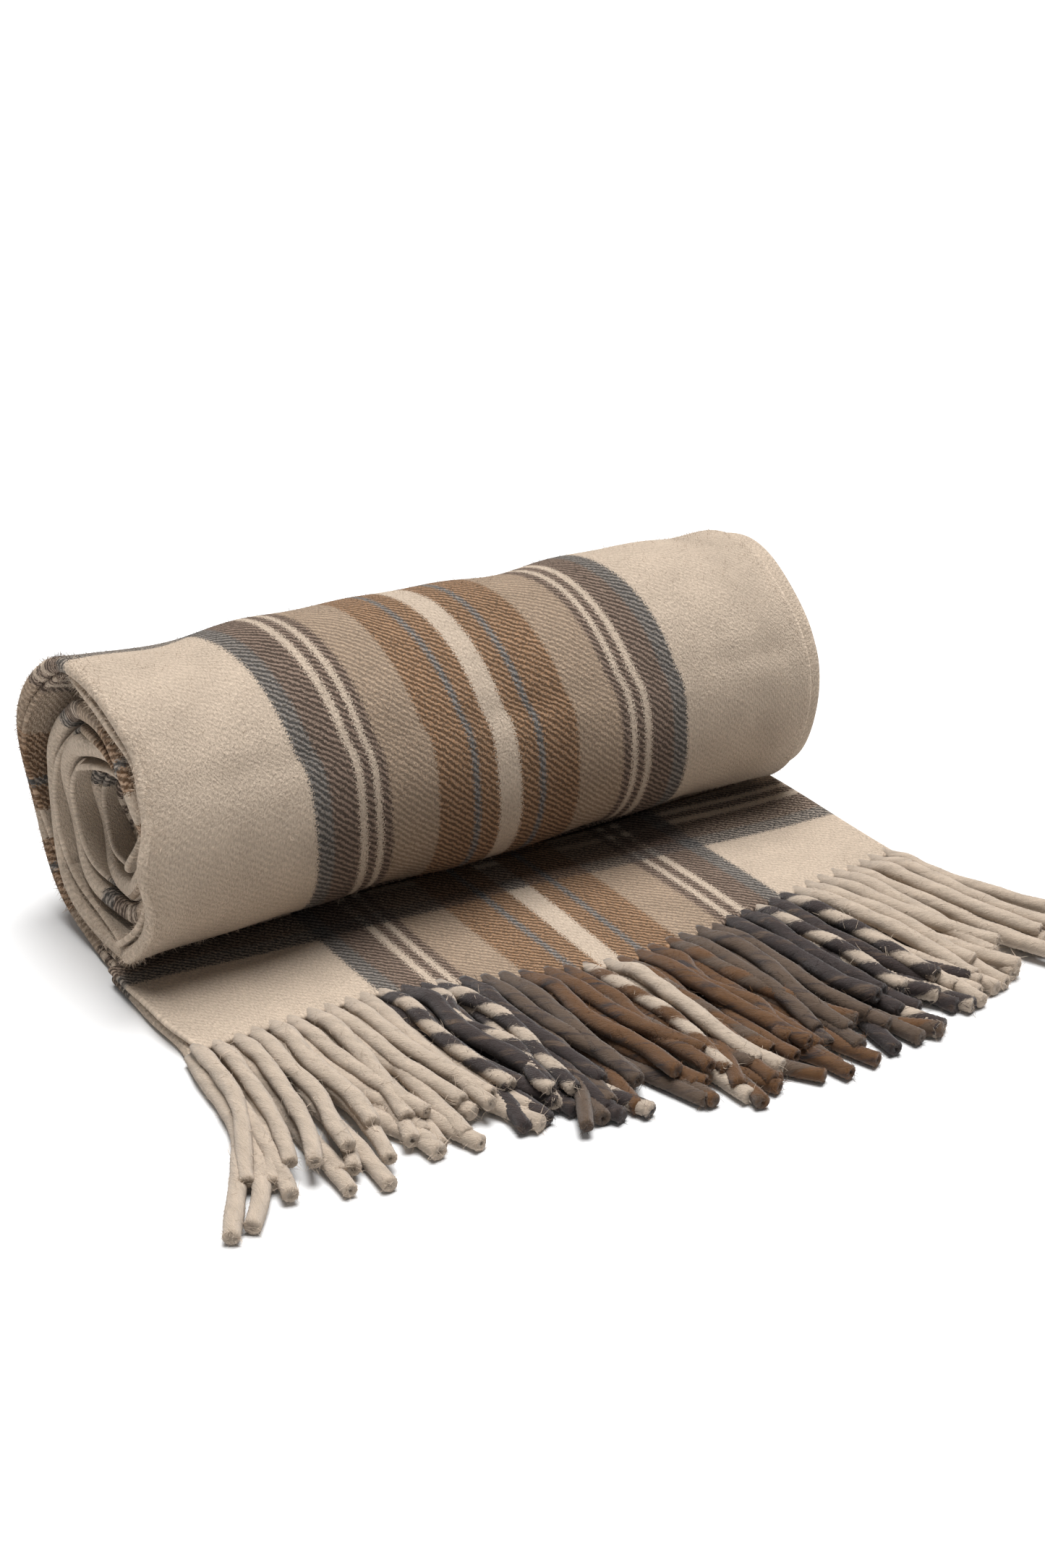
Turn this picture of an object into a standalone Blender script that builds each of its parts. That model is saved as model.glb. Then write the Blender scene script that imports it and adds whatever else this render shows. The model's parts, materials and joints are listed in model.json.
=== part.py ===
"""Throw blanket, folded lengthwise in thirds and rolled up, with its last stretch and fringe laid flat.

Metres, +Z up. X runs along the roll, -Y points to the fringe, and the origin is on the floor under the
middle of the footprint. The cloth lies in three plies, called thirds: bottom, middle and top as they lie
in the flat tail. The bottom third becomes the outside of the roll. The left fold joins the bottom and
middle thirds, and the right fold joins the middle and top thirds.
"""

import math

import bmesh
import bpy

# The cloth.
FOLDED_WIDTH = 0.433  # one third of the blanket's width, along X
PLY = 0.0034  # thickness of the brushed wool cloth
PLY_GAP = 0.0006  # air between two plies
EDGE_GAP = 0.0003  # between a ply's edge and the fold that continues it
THIRDS = ("bottom", "middle", "top")

# The roll.
ROLL_RADIUS = 0.089  # outside, at the left end, where the outermost turn leaves the floor
ROLL_TAPER = 0.006  # how much smaller that radius is at the right end
ROLL_TURNS = 5
ROLL_SEGMENTS = 20  # flats per turn
CORE_FRINGE_TURNS = 0.5  # how far the hidden fringe winds on inside the last turn
CORE_FRINGE_LEAD = 0.08  # radians between the cloth's end and that fringe

# The tail.
TAIL_HINGE_REACH = 0.0355  # from under the roll's axis forward to the line where the tail bends up
HINGE_PLAY = 0.0005  # clearance round every bending line
EDGE_REACH = (0.119, 0.119, 0.136, 0.161, 0.155, 0.148, 0.139)  # roll's axis to the fringe, by group end

# The fringe: a group is a run of neighbouring tassels that lifts together.
TASSEL_DIAMETER = 0.0084
TASSEL_LENGTH = 0.125
TASSEL_POINTS = 6
UNDER_TOOTH_WIDTH = 0.0070  # a lock of the two lower plies' tassels
UNDER_TOOTH_LENGTH = 0.138
UNDER_TOOTH_PLAY = 0.0003  # between the lower locks and the tassels that lie on them
UNDER_HEADER = 0.006  # depth of the knotted row that holds the lower locks together
GROUPS = (
    ("cream_left", 10),
    ("charcoal_left", 5),
    ("brown_left", 7),
    ("brown_right", 7),
    ("charcoal_right", 5),
    ("cream_right", 8),
)
TASSEL_COLOURS = ("cream",) * 10 + ("charcoal",) * 5 + ("taupe",) * 2 + ("brown",) * 4
TASSEL_COLOURS += ("cream",) + ("brown",) * 4 + ("taupe",) * 3 + ("charcoal",) * 5 + ("cream",) * 8
LEAN_LEFT = -0.26  # sideways slope of the first tassel
LEAN_MIDDLE = 0.08
LEAN_RIGHT = 0.24
LEAN_LEFT_TASSELS = 5  # how many tassels from the left edge the splay takes to die out
LEAN_RIGHT_TASSELS = 14

# What follows from them.
PLY_PITCH = PLY + PLY_GAP
STACK = len(THIRDS) * PLY_PITCH - PLY_GAP
TURN_PITCH = len(THIRDS) * PLY_PITCH
FOLD_RADIUS = PLY + PLY_GAP / 2
SIDE = FOLDED_WIDTH / 2
TASSEL_COUNT = sum(count for _, count in GROUPS)
TASSEL_PITCH = FOLDED_WIDTH / TASSEL_COUNT
TOP_HEIGHT = STACK - PLY / 2
ROOT_CLEARANCE = TASSEL_DIAMETER / 2 + HINGE_PLAY

# Dyed wool shades, as linear colour values.
WOOLS = {
    "cloth": (0.33, 0.25, 0.18),
    "fold": (0.55, 0.47, 0.38),
    "cream": (0.60, 0.50, 0.39),
    "charcoal": (0.035, 0.028, 0.030),
    "taupe": (0.16, 0.12, 0.09),
    "brown": (0.13, 0.055, 0.02),
}


def clear_scene():
    for obj in list(bpy.data.objects):
        bpy.data.objects.remove(obj, do_unlink=True)


def wool(name):
    material = bpy.data.materials.new(name + "_wool")
    material.use_nodes = True
    shader = material.node_tree.nodes["Principled BSDF"]
    shader.inputs["Base Color"].default_value = (*WOOLS[name], 1)
    shader.inputs["Roughness"].default_value = 0.95
    shader.inputs["Metallic"].default_value = 0
    return material


def add_object(name, data, material, blanket):
    data.materials.append(material)
    obj = bpy.data.objects.new(name, data)
    blanket.objects.link(obj)
    return obj


def add_sheet(name, rows, columns, place, material, blanket, thickness=PLY):
    """One ply: a grid laid in space by place(row, share across), given the cloth's thickness."""
    bm = bmesh.new()
    bmesh.ops.create_grid(bm, x_segments=columns, y_segments=rows, size=0.5)
    for vert in bm.verts:
        vert.co = place(round((vert.co.y + 0.5) * rows), vert.co.x + 0.5)
    mesh = bpy.data.meshes.new(name)
    bm.to_mesh(mesh)
    bm.free()
    obj = add_object(name, mesh, material, blanket)
    thick = obj.modifiers.new("cloth thickness", "SOLIDIFY")
    thick.thickness = thickness
    thick.offset = 0
    thick.use_even_offset = True
    return obj


def add_fold(name, rows, place, material, blanket):
    """A folded edge: a half-round bead swept along its ply. place(row, outwards, inwards) gives a point."""
    corners = 4
    bm = bmesh.new()
    bmesh.ops.create_grid(bm, x_segments=corners + 1, y_segments=rows, size=0.5)
    for vert in bm.verts:
        corner = round((vert.co.x + 0.5) * (corners + 1)) % (corners + 1)
        turn = math.pi * corner / corners - math.pi / 2
        row = round((vert.co.y + 0.5) * rows)
        vert.co = place(row, FOLD_RADIUS * math.cos(turn), FOLD_RADIUS * math.sin(turn))
    bmesh.ops.remove_doubles(bm, verts=bm.verts, dist=1e-6)
    ends = [edge for edge in bm.edges if edge.is_boundary]
    bmesh.ops.holes_fill(bm, edges=ends, sides=corners + 1)
    bmesh.ops.recalc_face_normals(bm, faces=bm.faces)
    mesh = bpy.data.meshes.new(name)
    bm.to_mesh(mesh)
    bm.free()
    return add_object(name, mesh, material, blanket)


def ply_depth(third):
    """How far a ply's middle lies inside the cloth's outer face."""
    return PLY / 2 + third * PLY_PITCH


def ply_sides(third):
    """X of a ply's left and right edges: short of a fold that continues it, and full where it ends free."""
    folded = SIDE - FOLD_RADIUS - EDGE_GAP
    left = -SIDE if THIRDS[third] == "top" else -folded
    right = SIDE if THIRDS[third] == "bottom" else folded
    return left, right


def wound(depth, angle, x):
    """A point of the roll: depth inside the outer face, at a winding angle counted from under the axis."""
    outside = ROLL_RADIUS - ROLL_TAPER * (x / FOLDED_WIDTH + 0.5)
    radius = outside - depth - TURN_PITCH * angle / math.tau
    return x, radius * math.sin(angle), outside - radius * math.cos(angle)


def rolled(depth, row, x):
    """Row 0 is the flat run's front end, row 1 lies under the axis, and the others wind up the roll."""
    if row == 0:
        return x, STACK / 2 + HINGE_PLAY - TAIL_HINGE_REACH, depth
    return wound(depth, (row - 1) * math.tau / ROLL_SEGMENTS, x)


def edge_reach(x):
    """How far in front of the roll's axis the weave ends, straight between the groups' ends."""
    place = (x + SIDE) / TASSEL_PITCH
    first = 0
    for (_, count), near, far in zip(GROUPS, EDGE_REACH, EDGE_REACH[1:]):
        if place <= first + count or first + count == TASSEL_COUNT:
            return near + (far - near) * (place - first) / count
        first += count


def tassel_x(index):
    return (index + 0.5) * TASSEL_PITCH - SIDE


def lean(index):
    """Sideways slope: the corner tassels splay out, the rest run nearly straight."""
    if index < LEAN_LEFT_TASSELS:
        return LEAN_MIDDLE + (LEAN_LEFT - LEAN_MIDDLE) * (1 - index / LEAN_LEFT_TASSELS)
    from_right = TASSEL_COUNT - 1 - index
    share = max(0, 1 - from_right / LEAN_RIGHT_TASSELS)
    return LEAN_MIDDLE + (LEAN_RIGHT - LEAN_MIDDLE) * share


def strand(index, run):
    """X and Y of a tassel's middle after this much of its length; its slope grows to the lean."""
    x = tassel_x(index)
    return x + lean(index) * run * run / TASSEL_LENGTH, -edge_reach(x) - run


def add_rolled_cloth(materials, blanket):
    rows = ROLL_TURNS * ROLL_SEGMENTS + 1
    parts = []
    for third, name in enumerate(THIRDS):
        left, right = ply_sides(third)

        def place(row, across, third=third, left=left, right=right):
            return rolled(ply_depth(third), row, left + across * (right - left))

        parts.append(add_sheet(f"rolled_{name}_third", rows, 1, place, materials["cloth"], blanket))
    for name, side, depth in (("left", -1, PLY_PITCH), ("right", 1, 2 * PLY_PITCH)):

        def bead(row, out, inward, side=side, depth=depth - PLY_GAP / 2):
            return rolled(depth + inward, row, side * (SIDE - FOLD_RADIUS + out))

        parts.append(add_fold(f"rolled_{name}_fold", rows, bead, materials["fold"], blanket))
    return parts


def add_core_fringe(materials, blanket):
    """The far end's tassels, wound on as one thick row inside the last turn of cloth."""
    rows = round(ROLL_SEGMENTS * CORE_FRINGE_TURNS)
    start = ROLL_TURNS * math.tau + CORE_FRINGE_LEAD
    side = SIDE - TASSEL_DIAMETER / 2

    def place(row, across):
        angle = start + row * math.tau / ROLL_SEGMENTS
        return wound(STACK / 2, angle, (2 * across - 1) * side)

    return [add_sheet("core_fringe", rows, 1, place, materials["cream"], blanket, TASSEL_DIAMETER)]


def add_tail(materials, blanket):
    parts = []
    for third, name in enumerate(THIRDS):
        left, right = ply_sides(third)

        def place(row, across, third=third, left=left, right=right):
            x = left + across * (right - left)
            front = -edge_reach(x) + ROOT_CLEARANCE
            return x, front if row else -TAIL_HINGE_REACH, ply_depth(third)

        parts.append(add_sheet(f"tail_{name}_third", 1, TASSEL_COUNT, place, materials["cloth"], blanket))
    for name, side, depth in (("left", -1, PLY_PITCH), ("right", 1, 2 * PLY_PITCH)):

        def bead(row, out, inward, side=side, depth=depth - PLY_GAP / 2):
            x = side * (SIDE - FOLD_RADIUS + out)
            front = -edge_reach(x) + ROOT_CLEARANCE
            return x, front if row else -TAIL_HINGE_REACH, depth + inward

        parts.append(add_fold(f"tail_{name}_fold", 1, bead, materials["fold"], blanket))
    return parts


def add_tassel(index, materials, blanket):
    """A twisted tassel of the top ply: a round cord whose root is rounded about its bending line."""
    colour = TASSEL_COLOURS[index]
    curve = bpy.data.curves.new(f"{colour}_tassel_{index + 1:02d}", "CURVE")
    curve.dimensions = "3D"
    curve.bevel_depth = TASSEL_DIAMETER / 2
    curve.bevel_resolution = 1
    curve.use_fill_caps = True
    runs = [0, TASSEL_DIAMETER / 4]
    runs += [TASSEL_LENGTH * step / (TASSEL_POINTS - 2) for step in range(1, TASSEL_POINTS - 1)]
    fullness = [0.5, 0.9] + [1] * (len(runs) - 2)
    spline = curve.splines.new("POLY")
    spline.points.add(len(runs) - 1)
    for point, run, full in zip(spline.points, runs, fullness):
        point.co = (*strand(index, run), TOP_HEIGHT, 1)
        point.radius = full
    return add_object(curve.name, curve, materials[colour], blanket)


def add_under_fringe(group, first, count, materials, blanket):
    """The two lower plies' tassels of a group: a flat comb under the round ones, one tooth for each."""
    half = UNDER_TOOTH_WIDTH / 2
    runs = [UNDER_HEADER, UNDER_TOOTH_LENGTH / 2, UNDER_TOOTH_LENGTH]
    outline = []
    for index in range(first, first + count):
        down = [strand(index, run) for run in runs]
        outline += [(x - half, y) for x, y in down]
        outline += [(x + half, y) for x, y in reversed(down)]
    for index, side in ((first + count - 1, half), (first, -half)):
        x, y = strand(index, 0)
        slope = edge_reach(x + side) - edge_reach(x)
        outline.append((x + side, y - slope))
    bm = bmesh.new()
    floor = bmesh.ops.contextual_create(bm, geom=[bm.verts.new((x, y, 0)) for x, y in outline])
    height = TOP_HEIGHT - TASSEL_DIAMETER / 2 - UNDER_TOOTH_PLAY
    raised = bmesh.ops.extrude_face_region(bm, geom=floor["faces"])["geom"]
    verts = [item for item in raised if isinstance(item, bmesh.types.BMVert)]
    bmesh.ops.translate(bm, verts=verts, vec=(0, 0, height))
    bmesh.ops.recalc_face_normals(bm, faces=bm.faces)
    mesh = bpy.data.meshes.new(f"under_fringe_{group}")
    bm.to_mesh(mesh)
    bm.free()
    colour = TASSEL_COLOURS[first + count // 2]
    return add_object(mesh.name, mesh, materials[colour], blanket)


def add_fringe(materials, blanket):
    """The groups in order, and for each the two ends of its bending line."""
    parts = []
    lines = {}
    first = 0
    for group, count in GROUPS:
        parts += [add_tassel(index, materials, blanket) for index in range(first, first + count)]
        parts.append(add_under_fringe(group, first, count, materials, blanket))
        ends = [place * TASSEL_PITCH - SIDE for place in (first, first + count)]
        lines[group] = [(x, -edge_reach(x), TOP_HEIGHT) for x in ends]
        first += count
    return parts, lines


def centre_footprint(parts, blanket):
    """Parents every part to an empty and moves that so that the footprint is centred on the origin."""
    bpy.context.view_layer.update()
    lows, highs = [], []
    graph = bpy.context.evaluated_depsgraph_get()
    for part in parts:
        mesh = part.evaluated_get(graph).to_mesh()
        depths = [(part.matrix_world @ vert.co).y for vert in mesh.vertices]
        lows.append(min(depths))
        highs.append(max(depths))
        part.evaluated_get(graph).to_mesh_clear()
    base = bpy.data.objects.new("base", None)
    blanket.objects.link(base)
    base.location.y = -(min(lows) + max(highs)) / 2
    for part in parts:
        part.parent = base
    return base


def main():
    clear_scene()
    blanket = bpy.data.collections.new("throw_blanket")
    bpy.context.scene.collection.children.link(blanket)
    materials = {name: wool(name) for name in WOOLS}
    parts = add_rolled_cloth(materials, blanket)
    parts += add_core_fringe(materials, blanket)
    parts += add_tail(materials, blanket)
    fringe, lines = add_fringe(materials, blanket)
    parts += fringe
    base = centre_footprint(parts, blanket)
    shift = base.location.y
    print("roll axis y", round(shift, 5), "tail bends at", round(shift - TAIL_HINGE_REACH, 5), STACK / 2)
    for group, ends in lines.items():
        print(group, [(round(x, 5), round(y + shift, 5), round(z, 5)) for x, y, z in ends])


if __name__ == "__main__":
    main()
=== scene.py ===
"""Throw blanket, folded in thirds, rolled up and fringed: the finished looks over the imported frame.

Metres, +Z up. X runs along the roll, -Y points to the fringe. The whole cloth is one woven panel, described by
two coordinates: across it, from the outer free edge through both folds, and along it, from the fringe inwards.
"""

import json
import logging
import math
from dataclasses import dataclass
from enum import Enum

import bmesh
import bpy
import numpy as np
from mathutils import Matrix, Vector


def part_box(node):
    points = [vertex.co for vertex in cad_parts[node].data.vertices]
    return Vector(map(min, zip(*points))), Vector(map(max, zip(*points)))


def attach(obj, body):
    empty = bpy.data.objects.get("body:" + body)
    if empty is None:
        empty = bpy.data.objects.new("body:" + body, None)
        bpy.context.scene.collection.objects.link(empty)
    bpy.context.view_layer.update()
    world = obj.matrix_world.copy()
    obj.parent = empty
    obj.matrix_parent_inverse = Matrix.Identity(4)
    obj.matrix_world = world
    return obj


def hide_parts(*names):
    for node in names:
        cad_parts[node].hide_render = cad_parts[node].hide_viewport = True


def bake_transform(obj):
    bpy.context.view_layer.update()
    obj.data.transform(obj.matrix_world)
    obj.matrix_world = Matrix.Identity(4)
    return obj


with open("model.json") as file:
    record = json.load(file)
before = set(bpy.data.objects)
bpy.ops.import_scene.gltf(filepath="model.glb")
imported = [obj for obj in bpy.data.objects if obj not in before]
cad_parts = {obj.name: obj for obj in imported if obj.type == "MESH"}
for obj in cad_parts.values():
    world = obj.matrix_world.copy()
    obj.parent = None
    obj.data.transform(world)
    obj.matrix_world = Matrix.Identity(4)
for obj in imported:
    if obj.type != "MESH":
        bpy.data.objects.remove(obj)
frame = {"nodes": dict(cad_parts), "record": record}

LOG = logging.getLogger("throw_blanket")
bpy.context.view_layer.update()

# The cloth, as the frame has it.
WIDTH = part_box("tail_bottom_third")[1].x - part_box("tail_top_third")[0].x
SIDE = WIDTH / 2
PLY = 0.0034
PLY_PITCH = 0.0040
STACK = 0.0114
TURN_PITCH = 0.0120
FOLD_INSET = 0.0037  # from the folded edge in to the middle of the fold's bend
PANEL = 3 * WIDTH

# The roll, as the frame has it.
ROLL_RADIUS = 0.089
ROLL_TAPER = 0.006
ROLL_TURNS = 5
HINGE_REACH = 0.0355
SEAM_REACH = 0.0240  # from under the axis to where the roll and tail are parted, out of sight

TASSEL_LENGTH = 0.125
FIBRE_WIDTH = 0.00021
FIBRE_POINTS = 6
SHORT_NAP = (0.0012, 0.0034)  # shortest and longest fibre
EDGE_NAP = (0.0015, 0.004)
FRAYED = (0.003, 0.0085)
FIBRES_PER_TASSEL = 320
TASSEL_COUNT = 42
TASSEL_PITCH = WIDTH / TASSEL_COUNT


def joint(name: str) -> dict:
    """The record's facts of one joint."""
    return next(item for item in frame["record"]["behaviour"]["joints"] if item["name"] == name)


TAIL_PIVOT = Vector(joint("tail_lift")["pos_m"])
AXIS_Y = TAIL_PIVOT.y + HINGE_REACH


def linear(code: str) -> tuple[float, float, float, float]:
    """A colour's linear values.

    Args:
        code: the colour as sRGB hex, such as "#D9CBBB".

    Returns:
        Linear red, green, blue and an alpha of 1.
    """
    values = [int(code[i : i + 2], 16) / 255 for i in (1, 3, 5)]
    return (*[v / 12.92 if v <= 0.04045 else ((v + 0.055) / 1.055) ** 2.4 for v in values], 1.0)


def smooth(value: np.ndarray, low: float, high: float) -> np.ndarray:
    """0 below low, 1 above high, and a smooth step between them."""
    share = np.clip((value - low) / (high - low), 0, 1)
    return share * share * (3 - 2 * share)


def bump_at(value: np.ndarray, centre: float, width: float) -> np.ndarray:
    """A soft hill of height 1 about centre."""
    return np.exp(-(((value - centre) / width) ** 2))


class Dye(Enum):
    """Wool dyes, as sRGB hex."""

    CREAM = "#BCAB99"
    TAUPE = "#8F7964"
    BROWN = "#7A532E"
    DARK = "#57443B"
    SLATE = "#4E5052"
    LINE = "#54585C"
    CREAM_TASSEL = "#BAA997"
    CHARCOAL = "#362C2A"
    TAUPE_TASSEL = "#5C4B3D"
    RUST = "#634428"


# One check of the plaid, from its middle outwards: where each stripe begins, in metres, and its dye.
STRIPES = (
    (0.0000, Dye.CREAM),
    (0.0063, Dye.BROWN),
    (0.0186, Dye.LINE),
    (0.0226, Dye.BROWN),
    (0.0445, Dye.TAUPE),
    (0.0725, Dye.DARK),
    (0.0778, Dye.CREAM),
    (0.0818, Dye.DARK),
    (0.0872, Dye.CREAM),
    (0.0915, Dye.DARK),
    (0.1080, Dye.SLATE),
    (0.1185, Dye.CREAM),
)
WARP_REPEAT = PANEL / 3
WEFT_REPEAT = 0.695
WEFT_CENTRE = 0.205
WEFT_STRETCH = 1.18  # how much wider the bands along the panel are than those across it


NOISE, VECTOR, REMAP = "ShaderNodeTexNoise", "ShaderNodeVectorMath", "ShaderNodeMapRange"
FLAT, SOLID = {"noise_dimensions": "2D"}, {"noise_dimensions": "3D"}
SCALE_BY = {"operation": "SCALE"}
RAMP_REACH = 0.2  # metres that the stripes' colour ramp spans
DIAGONAL = 1.41  # a line at 45 degrees repeats this much further along each side of the cloth


class Graph:
    """A material's node tree, with one way to add a node."""

    def __init__(self, name: str) -> None:
        self.material = bpy.data.materials.new(name)
        self.material.use_nodes = True
        self.tree = self.material.node_tree
        self.shader = self.tree.nodes["Principled BSDF"]

    def add(self, kind: str, settings: dict | None = None, **inputs) -> bpy.types.NodeSocket:
        """Adds a node.

        Args:
            kind: the node's Blender type.
            settings: its properties.
            inputs: values or sockets by input, with in_0, in_1 for inputs by number.

        Returns:
            Its first enabled output.
        """
        node = self.tree.nodes.new(kind)
        for key, value in (settings or {}).items():
            setattr(node, key, value)
        for key, value in inputs.items():
            wanted = int(key[3:]) if key.startswith("in_") else key.replace("_", " ")
            self.put(node.inputs[wanted], value)
        return next(output for output in node.outputs if output.enabled)

    def put(self, socket: bpy.types.NodeSocket, value) -> None:
        """Gives a socket a value, or links it."""
        if isinstance(value, bpy.types.NodeSocket):
            self.tree.links.new(value, socket)
        else:
            socket.default_value = value

    def sum(self, operation: str, *values) -> bpy.types.NodeSocket:
        """One arithmetic step."""
        inputs = {f"in_{index}": value for index, value in enumerate(values)}
        return self.add("ShaderNodeMath", {"operation": operation}, **inputs)

    def mix(self, share, first, second) -> bpy.types.NodeSocket:
        """A colour between two."""
        node = self.tree.nodes.new("ShaderNodeMix")
        node.data_type = "RGBA"
        for index, value in ((0, share), (6, first), (7, second)):
            self.put(node.inputs[index], value)
        return node.outputs[2]


def stripe_ramp(graph: Graph, place) -> bpy.types.NodeSocket:
    """The dye at a distance from the middle of a check."""
    colour = graph.add("ShaderNodeValToRGB", None, in_0=graph.sum("DIVIDE", place, RAMP_REACH))
    ramp = colour.node.color_ramp
    ramp.interpolation = "CONSTANT"
    while len(ramp.elements) > 1:
        ramp.elements.remove(ramp.elements[-1])
    ramp.elements[0].color = linear(STRIPES[0][1].value)
    for start, dye in STRIPES[1:]:
        ramp.elements.new(start / RAMP_REACH).color = linear(dye.value)
    return colour


@dataclass(frozen=True)
class PlaidCloth:
    """Brushed wool twill: warp and weft stripes that cross, with the nap raised over them."""

    twill_pitch: float = 0.0030  # real twill of this wool has lines about 2.8 mm apart
    twill_relief: float = 0.00040
    drift: float = 0.0090  # how far a stripe's edge wanders, before the noise's small range is taken off it
    fibre_relief: float = 0.0016
    speck_relief: float = 0.0010
    cloud_relief: float = 0.0020

    def stripes(self, g: Graph, uv: bpy.types.NodeSocket) -> tuple[bpy.types.NodeSocket, bpy.types.NodeSocket]:
        """The dyes of the warp and of the weft at a place on the cloth."""
        # Fibres drift across the edge of a stripe, so the place that is looked up wanders a little.
        noise = g.add(NOISE, FLAT, Vector=uv, Scale=1100.0, Detail=3.0).node.outputs["Color"]
        offset = g.add(VECTOR, {"operation": "SUBTRACT"}, in_0=noise, in_1=(0.5, 0.5, 0.5))
        reach = (self.drift, self.drift, 0)
        moved = g.add(VECTOR, {"operation": "MULTIPLY_ADD"}, in_0=offset, in_1=reach, in_2=uv)
        split = g.add("ShaderNodeSeparateXYZ", None, in_0=moved).node.outputs
        shifted = g.sum("ADD", split["Y"], WEFT_REPEAT * 1.5 - WEFT_CENTRE)
        dyes = []
        for place, repeat, stretch in ((split["X"], WARP_REPEAT, 1.0), (shifted, WEFT_REPEAT, WEFT_STRETCH)):
            centred = g.sum("SUBTRACT", g.sum("MODULO", place, repeat), repeat / 2)
            dyes.append(stripe_ramp(g, g.sum("DIVIDE", g.sum("ABSOLUTE", centred), stretch)))
        return dyes[0], dyes[1]

    def twill(self, g: Graph, uv: bpy.types.NodeSocket) -> bpy.types.NodeSocket:
        """The diagonal line of the weave, which leans the other way on the top third."""
        split = g.add("ShaderNodeSeparateXYZ", None, in_0=uv).node.outputs
        face = g.sum("GREATER_THAN", split["X"], PANEL * 2 / 3)
        turned = g.sum("MULTIPLY_ADD", face, -2.0, 1.0)
        diagonal = g.sum("MULTIPLY_ADD", split["X"], turned, split["Y"])
        wander = g.add(NOISE, FLAT, Vector=uv, Scale=170.0, Detail=3.0)
        lines = g.sum("MULTIPLY", diagonal, math.tau / DIAGONAL / self.twill_pitch)
        return g.sum("SINE", g.sum("MULTIPLY_ADD", wander, 5.0, lines))

    def build(self) -> bpy.types.Material:
        """Makes the material."""
        g = Graph("brushed_wool_plaid")
        uv = g.add("ShaderNodeUVMap", {"uv_map": "cloth"})
        warp, weft = self.stripes(g, uv)
        grey_warp = g.add("ShaderNodeRGBToBW", None, in_0=warp)
        grey_weft = g.add("ShaderNodeRGBToBW", None, in_0=weft)
        # The darker yarn of a crossing shows more, because the pale fibres over it are thin.
        lead = g.sum("MULTIPLY_ADD", g.sum("SUBTRACT", grey_weft, grey_warp), 0.95, 0.56)
        lead.node.use_clamp = True
        line = self.twill(g, uv)
        speck = g.add(NOISE, FLAT, Vector=uv, Scale=760.0, Detail=3.0)
        uneven = g.sum("SUBTRACT", speck, 0.5)
        # The pale wool is felted over and hides its twill; the coloured yarns show theirs, in broken floats.
        tone = g.add("ShaderNodeRGBToBW", None, in_0=g.mix(lead, weft, warp))
        bare = g.add(REMAP, None, Value=tone, From_Min=0.16, From_Max=0.34, To_Min=1.0, To_Max=0.10)
        # Each yarn's floats stand up in broken diagonal rows, pale with the brushed fibres of the other yarn, and
        # carry lit and shaded copies of the woven colour: a painted highlight on each float and painted shade in
        # the groove beside it.
        rough = g.sum("MULTIPLY_ADD", uneven, 3.4, g.sum("MULTIPLY", line, 0.66))
        stepped = {"interpolation_type": "SMOOTHSTEP"}
        crest = g.add(REMAP, stepped, Value=rough, From_Min=-0.45, From_Max=0.70)
        share = g.sum("MULTIPLY_ADD", uneven, 0.7, lead)
        share.node.use_clamp = True
        woven = g.mix(share, weft, warp)
        # Painted highlight: a coloured float is the woven colour made lighter; the cream mixed in next is the
        # other yarn's real fibres.
        raised = g.add(VECTOR, SCALE_BY, in_0=woven, Scale=g.sum("MULTIPLY_ADD", bare, 0.45, 1.02))
        pale = g.mix(g.sum("MULTIPLY", bare, 0.22), raised, linear(Dye.CREAM.value))
        # Painted shade: the groove between floats is the woven colour made darker.
        sunk_and_shaded = g.add(VECTOR, SCALE_BY, in_0=woven, Scale=g.sum("MULTIPLY_ADD", bare, -0.56, 0.98))
        # Melange: lighter and darker fibres in every yarn, and slow changes of shade over the panel.
        stretched = g.add(VECTOR, {"operation": "MULTIPLY"}, in_0=uv, in_1=(1, 0.40, 1))
        fibre = g.add(NOISE, FLAT, Vector=stretched, Scale=1100.0, Detail=4.0, Roughness=0.65)
        cloudy = g.add(NOISE, FLAT, Vector=uv, Scale=42.0, Detail=4.0)
        shade = g.sum("MULTIPLY_ADD", fibre, 1.00, g.sum("MULTIPLY_ADD", cloudy, 0.26, 0.37))
        colour = g.add(VECTOR, SCALE_BY, in_0=g.mix(crest, sunk_and_shaded, pale), Scale=shade)
        g.put(g.shader.inputs["Base Color"], colour)
        height = g.sum("MULTIPLY", g.sum("MULTIPLY", crest, bare), self.twill_relief)
        for part, tall in ((fibre, self.fibre_relief), (speck, self.speck_relief), (cloudy, self.cloud_relief)):
            height = g.sum("MULTIPLY_ADD", part, tall, height)
        bump = g.add("ShaderNodeBump", None, Height=height, Strength=0.8, Distance=1.0)
        g.put(g.shader.inputs["Normal"], bump)
        g.put(g.shader.inputs["Roughness"], 0.95)
        g.put(g.shader.inputs["Specular IOR Level"], 0.15)
        g.put(g.shader.inputs["Sheen Weight"], 0.12)
        g.put(g.shader.inputs["Sheen Tint"], linear(Dye.CREAM.value))
        g.put(g.shader.inputs["Sheen Roughness"], 0.6)
        return g.material


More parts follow.
